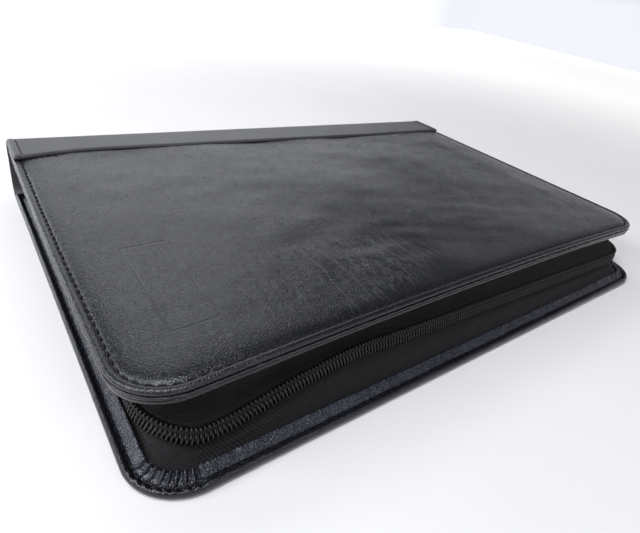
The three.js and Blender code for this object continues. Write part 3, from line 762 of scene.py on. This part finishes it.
class Shader:
    """A material with one Principled surface."""

    def __init__(self, name):
        self.material = bpy.data.materials.new(name)
        self.material.use_nodes = True
        self.tree = self.material.node_tree
        self.surface = self.tree.nodes["Principled BSDF"]

    def feed(self, slot_in, item):
        if isinstance(item, Value):
            self.tree.links.new(item.socket, slot_in)
        else:
            slot_in.default_value = item

    def node(self, kind, settings, inputs, output=0):
        """Any node: its type, its settings, its inputs by name, and the output wanted."""
        made = self.tree.nodes.new("ShaderNode" + kind)
        for key, value in settings.items():
            setattr(made, key, value)
        for key, value in inputs.items():
            self.feed(made.inputs[key], value)
        return Value(self, made.outputs[output])

    def place(self):
        """Object position in millimetres."""
        coords = self.node("TexCoord", {}, {}, "Object")
        return self.node("VectorMath", {"operation": "SCALE"}, {"Vector": coords, "Scale": 1 / MM})

    def flow(self):
        """The flow attribute's three parts, in millimetres."""
        return self.split(self.node("Attribute", {"attribute_name": "flow"}, {}, "Vector"))

    def stretch(self, vector, scale, turn=0.0):
        """A vector turned about Z and scaled."""
        return self.node("Mapping", {}, {"Vector": vector, "Rotation": (0, 0, turn), "Scale": scale})

    def noise(self, vector, size, detail=2.0, roughness=0.5, warp=0.0):
        return self.node("TexNoise", {}, {"Vector": vector, "Scale": 1 / size, "Detail": detail,
                                          "Roughness": roughness, "Distortion": warp}, "Fac")

    def cells(self, vector, size, feature="DISTANCE_TO_EDGE", output="Distance"):
        return self.node("TexVoronoi", {"feature": feature}, {"Vector": vector, "Scale": 1 / size}, output)

    def split(self, vector):
        parts = self.tree.nodes.new("ShaderNodeSeparateXYZ")
        self.feed(parts.inputs[0], vector)
        return [Value(self, part) for part in parts.outputs]

    def from_middle(self, place, middle):
        """Distance along X and along Y from a point of the drawing."""
        x, y, _ = self.split(place)
        return (x - (middle[0] + SHIFT[0])).abs(), (y - (middle[1] + SHIFT[1])).abs()

    def box_distance(self, place, middle, half):
        """Distance to a rectangle's outline in plan, negative inside."""
        dx, dy = self.from_middle(place, middle)
        return (dx - half[0]).max(dy - half[1])

    def spot(self, place, middle, half):
        """1 in the middle of an ellipse in plan, 0 outside it."""
        dx, dy = self.from_middle(place, middle)
        return ((dx / half[0]) ** 2 + (dy / half[1]) ** 2).ramp(0.15, 1.0, 1.0, 0.0)

    def mix(self, factor, low, high):
        """A colour between two."""
        made = self.tree.nodes.new("ShaderNodeMix")
        made.data_type = "RGBA"
        self.feed(made.inputs[0], factor)
        for slot_in, item in ((made.inputs[6], low), (made.inputs[7], high)):
            self.feed(slot_in, item if isinstance(item, Value) else (*item, 1))
        return Value(self, made.outputs[2])

    def relief(self, height, depth):
        """Height as a bump, depth in millimetres."""
        made = self.node("Bump", {}, {"Height": height, "Distance": depth * MM, "Strength": 1.0})
        self.tree.links.new(made.socket, self.surface.inputs["Normal"])

    def set(self, **inputs):
        for key, value in inputs.items():
            self.feed(self.surface.inputs[key.replace("_", " ")], value)


print("shader helpers ready")


# %% Leather
PANEL = {"middle": (-139.2, -59.8), "half": (9.2, 31.0)}
CREASED = {"middle": (-66.0, -84.0), "half": (62.0, 38.0)}


def leather(name, dark, light, rough, grain_depth=0.10, wrinkles=0.0, pressed=False, wear_and_painted_glint=0.0,
            fleck=4.0):
    """Pebbled grain from cell edges, fine pores from noise, long creases from ridged noise that is
    stretched and bent, and pale flecks that are partly rubbed wear and partly painted glints of light."""
    shader = Shader(name)
    place = shader.place()
    drift = shader.noise(place, 9, 2)
    grain = shader.cells(place, 1.25).ramp(0.0, 0.3)
    fine = shader.cells(place, 0.6).ramp(0.0, 0.3)
    pores = shader.noise(place, 0.7, 3, 0.6)
    height = grain * 0.6 + fine * 0.25 + pores * 0.12
    height = height * (0.5 + 1.0 * shader.noise(place, 28, 2))
    if wrinkles:
        cloud = shader.node("TexNoise", {}, {"Vector": place, "Scale": 1 / 60, "Detail": 2.0}, "Color")
        push = shader.node("VectorMath", {"operation": "SCALE"}, {"Vector": cloud, "Scale": 42.0})
        bent = shader.node("VectorMath", {"operation": "ADD"}, {0: place, 1: push})

        def lines(turn, size, power):
            field = shader.noise(shader.stretch(bent, (0.3, 1, 1), turn), size, 3, 0.55)
            return (1.0 - (field * 2 - 1).abs()) ** power

        creases = lines(0.75, 7, 9) + 0.6 * lines(-0.5, 5, 10)
        where = shader.noise(place, 55, 2).ramp(0.38, 0.62)
        height = height - wrinkles * creases * (0.25 + where)
        if pressed:
            pleated = shader.noise(shader.stretch(place, (1, 0.16, 1), -0.45), 6, 3, 0.5)
            folds = (1.0 - (pleated * 2 - 1).abs()) ** 9
            height = height - 3.8 * folds * shader.spot(place, **CREASED)
    if pressed:
        edge = shader.box_distance(place, **PANEL).abs()
        height = height - 6.5 * (1 - edge.ramp(0.15, 0.75))
    tone = (shader.noise(place, 40, 3) * 0.6 + drift * 0.4).ramp(0.3, 0.75)
    colour = shader.mix(tone, dark, light)
    # Pale flecks: partly rubbed wear, partly painted glints and sparkle highlights on the glossy edges
    wear_and_glint_flecks = shader.noise(place, fleck, 4, 0.7).ramp(0.5, 0.72)
    if wear_and_painted_glint:
        colour = shader.mix(wear_and_glint_flecks * wear_and_painted_glint, colour, tuple(2.6 * c for c in light))
    roughness = rough + (drift - 0.5) * 0.12 - grain * 0.05
    shader.set(Base_Color=colour, Roughness=roughness, Specular_IOR_Level=0.5)
    shader.relief(height, grain_depth)
    return shader.material


SKINS = {
    "front": {"dark": (0.004, 0.0045, 0.006), "light": (0.008, 0.0085, 0.0125), "rough": 0.28,
              "grain_depth": 0.085, "wrinkles": 0.55, "pressed": True},
    "back": {"dark": (0.005, 0.0055, 0.008), "light": (0.009, 0.0095, 0.014), "rough": 0.18,
             "grain_depth": 0.1, "wear_and_painted_glint": 0.2},
    # Painted sheen: the spine's skin is far paler than the covers' and stands in for the light its band
    # reflects at a grazing angle
    "spine": {"dark": (0.036, 0.0355, 0.037), "light": (0.058, 0.0575, 0.059), "rough": 0.42,
              "grain_depth": 0.09, "wrinkles": 0.5},
    "bead": {"dark": (0.004, 0.0045, 0.006), "light": (0.009, 0.0095, 0.011), "rough": 0.2,
             "grain_depth": 0.07, "wear_and_painted_glint": 0.4, "fleck": 1.6},
    "strip": {"dark": (0.006, 0.0065, 0.010), "light": (0.018, 0.0187, 0.028), "rough": 0.22,
              "grain_depth": 0.17, "wear_and_painted_glint": 0.9, "fleck": 1.1},
    "tab": {"dark": (0.006, 0.0065, 0.009), "light": (0.013, 0.0135, 0.018), "rough": 0.32,
            "grain_depth": 0.14},
}
MATERIALS = {name: leather(name + "_skin", **skin) for name, skin in SKINS.items()}
print("leather", len(MATERIALS), "skins")


# %% Cloth, nylon and thread
def woven(name, chevron, dark, light, pitch=1.35):
    """A weave from flow: ribs slant with the length, and turn back at the chevron's line."""
    shader = Shader(name)
    run, down, _ = shader.flow()
    slant = (down - chevron).abs() if chevron else down
    rib = (((run + slant * 1.15) * (math.tau / pitch)).sin() * 0.5 + 0.5)
    rib = rib * (0.75 + 0.25 * ((down * (math.tau / 0.55)).sin()))
    place = shader.place()
    dust = shader.noise(place, 1.2, 4, 0.7)
    colour = shader.mix(rib * 0.7 + dust * 0.3, dark, light)
    shader.set(Base_Color=colour, Roughness=0.86, Specular_IOR_Level=0.25)
    shader.set(Sheen_Weight=0.04, Sheen_Roughness=0.5)
    shader.relief(rib + dust * 0.25, 0.3)
    return shader.material


def plain_finish(name, colour, rough, specular=0.5, metallic=0.0, grain=0.0):
    """A smooth finish with slight unevenness."""
    shader = Shader(name)
    place = shader.place()
    uneven = shader.noise(place, 2.5, 3)
    shader.set(Base_Color=shader.mix(uneven, colour, tuple(1.5 * c for c in colour)),
               Roughness=rough + (uneven - 0.5) * 0.15, Metallic=metallic,
               Specular_IOR_Level=specular)
    if grain:
        shader.relief(shader.noise(place, 0.4, 2), grain)
    return shader.material


MATERIALS["cloth_lower"] = woven("gusset_weave_lower", 5.5,
                                (0.0008, 0.0008, 0.0008), (0.024, 0.024, 0.0235), 1.3)
MATERIALS["cloth_upper"] = woven("gusset_weave_upper", 0,
                                (0.003, 0.003, 0.003), (0.012, 0.012, 0.0115), 0.95)
MATERIALS["tape"] = woven("tape_weave", 0, (0.005, 0.005, 0.005), (0.012, 0.012, 0.012), 0.8)
MATERIALS["nylon"] = plain_finish("coil_nylon", (0.007, 0.0072, 0.0075), 0.34)
MATERIALS["thread"] = plain_finish("thread", (0.006, 0.0055, 0.005), 0.6, 0.3, 0.0, 0.1)
MATERIALS["sewing"] = plain_finish("zip_thread", (0.007, 0.007, 0.007), 0.8, 0.2)
MATERIALS["metal"] = plain_finish("slider_finish", (0.03, 0.03, 0.034), 0.3, 0.5, 0.9)

DRESS = {
    "front": [front_leather], "back": [back_leather], "spine": [spine_wrap], "bead": [front_beads],
    "strip": [back_strip], "tab": [tab_left, tab_right], "cloth_upper": [upper_cloth],
    "cloth_lower": [lower_cloth], "tape": [tape_above, tape_below],
    "nylon": [coil_above, coil_below], "sewing": [coil_sewing],
    "thread": [front_stitches, back_stitches, spine_stitches_left, spine_stitches_right],
}
for finish, objects in DRESS.items():
    for obj in objects:
        obj.data.materials.clear()
        obj.data.materials.append(MATERIALS[finish])

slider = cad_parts["zip_slider"]
for index in range(max(1, len(slider.material_slots))):
    if slider.material_slots:
        slider.material_slots[index].material = MATERIALS["metal"]
print("dressed", sum(map(len, DRESS.values())), "pieces")

# %% [markdown]
# ## Floor and light
#
# A pale table in a dim room, lit by a few soft windows.

# %% Stage
table_mesh = bpy.data.meshes.new("table")
table_mesh.from_pydata([(-6, -6, 0), (6, -6, 0), (6, 6, 0), (-6, 6, 0)], [], [(0, 1, 2, 3)])
table_top = bpy.data.objects.new("table", table_mesh)
bpy.context.scene.collection.objects.link(table_top)
floor_finish = Shader("table_finish")
cloud = floor_finish.noise(floor_finish.place(), 90, 3)
far_x, far_y = floor_finish.from_middle(floor_finish.place(), (0, 0))
# Painted glow: the table emits more light the further it lies from the case, standing in for light falling
# on the far table
away = ((far_x ** 2 + far_y ** 2) ** 0.5).ramp(300, 1200, 0.0, 1.0)
tint = floor_finish.mix(cloud, (0.80, 0.775, 0.75), (0.85, 0.825, 0.80))
painted_far_glow = floor_finish.mix(away, (0, 0, 0), (0.52, 0.51, 0.5))
floor_finish.set(Base_Color=tint, Roughness=0.6, Emission_Color=painted_far_glow, Emission_Strength=1.0)
table_mesh.materials.append(floor_finish.material)

world = bpy.data.worlds.new("room")
world.use_nodes = True
world.node_tree.nodes["Background"].inputs["Color"].default_value = (0.93, 0.95, 1.0, 1)
world.node_tree.nodes["Background"].inputs["Strength"].default_value = 0.16
bpy.context.scene.world = world


def wall(name, corners, along, upward):
    """A pale glowing wall. A step along it times a step up it, each given as axis, two places in
    metres and the share at each, makes its glow. Near the floor it is bright all along."""
    mesh = bpy.data.meshes.new(name)
    mesh.from_pydata(corners, [], [(0, 1, 2, 3)])
    obj = bpy.data.objects.new(name, mesh)
    bpy.context.scene.collection.objects.link(obj)
    shader = Shader(name + "_finish")
    parts = shader.split(shader.node("TexCoord", {}, {}, "Object"))
    glow = [parts[axis].ramp(start, end, first, last) for axis, start, end, first, last in (along, upward)]
    foot = parts[2].ramp(0.2, 0.36, 0.42, 0.0)
    shade = shader.mix((glow[0] * glow[1]).max(foot), (0.0, 0.0, 0.0), LIGHT_TINT)
    shader.set(Base_Color=(0.12, 0.12, 0.12, 1), Roughness=0.9, Emission_Color=shade, Emission_Strength=2.0)
    mesh.materials.append(shader.material)
    return obj


LIGHT_TINT = (0.90, 0.93, 1.0)
wall("far_wall", [(-3, 1.5, 0), (1.9, 1.5, 0), (1.9, 1.5, 1.3), (-3, 1.5, 1.3)],
     (0, 0.9, 2.2, 0.74, 0.26), (2, 0.42, 0.75, 1, 0.06))
wall("left_wall", [(-1.5, -1.4, 0), (-1.5, 1.5, 0), (-1.5, 1.5, 1.2), (-1.5, -1.4, 1.2)],
     (1, -1.2, 1.0, 0.2, 0.3), (2, 0.6, 1.2, 1, 1))
wall("right_wall", [(1.9, -1.6, 0), (1.9, 1.5, 0), (1.9, 1.5, 1.3), (1.9, -1.6, 1.3)],
     (1, -0.6, 1.2, 0.02, 0.2), (2, 0.6, 0.95, 1, 0.5))
wall("near_wall", [(-1.5, -1.6, 0), (1.9, -1.6, 0), (1.9, -1.6, 1.6), (-1.5, -1.6, 1.6)],
     (0, -1.0, 1.5, 0.12, 0.08), (2, 0.7, 1.0, 0.5, 1))


def soft_light(name, at, target, size, power, colour=(1, 1, 1)):
    """A square area light at a place, turned to a target, in metres."""
    light = bpy.data.lights.new(name, "AREA")
    light.shape = "RECTANGLE"
    light.size, light.size_y = size
    light.energy, light.color = power, colour
    obj = bpy.data.objects.new(name, light)
    at, target = np.array(at), np.array(target)
    look = (at - target) / np.linalg.norm(at - target)
    side = np.cross([0, 0, 1], look)
    side /= np.linalg.norm(side)
    turned = np.eye(4)
    turned[:3, 0], turned[:3, 1], turned[:3, 2], turned[:3, 3] = side, np.cross(look, side), look, at
    obj.matrix_world = Matrix(turned.tolist())
    bpy.context.scene.collection.objects.link(obj)
    return obj


# Place, target and size in metres, power in watts
WINDOWS = {
    "window": {"at": (0.15, 1.2, 1.2), "target": (-0.1, 0, 0), "size": (0.9, 0.4), "power": 5},
    "low_window": {"at": (-0.85, 1.35, 0.33), "target": (-0.15, 0, 0), "size": (0.7, 0.4), "power": 2.4},
    "left_window": {"at": (-1.2, 0.15, 0.85), "target": (-0.1, 0, 0), "size": (1.1, 0.4), "power": 12},
    "near_strip": {"at": (0.1, -1.35, 1.05), "target": (0, 0, 0), "size": (1.6, 0.1), "power": 6},
    "overhead": {"at": (-0.5, -0.2, 1.4), "target": (0, 0, 0), "size": (0.6, 0.6), "power": 12},
}
for name, lamp in WINDOWS.items():
    soft_light(name, colour=LIGHT_TINT, **lamp)
bpy.context.scene.view_settings.view_transform = "Standard"
print("stage ready")
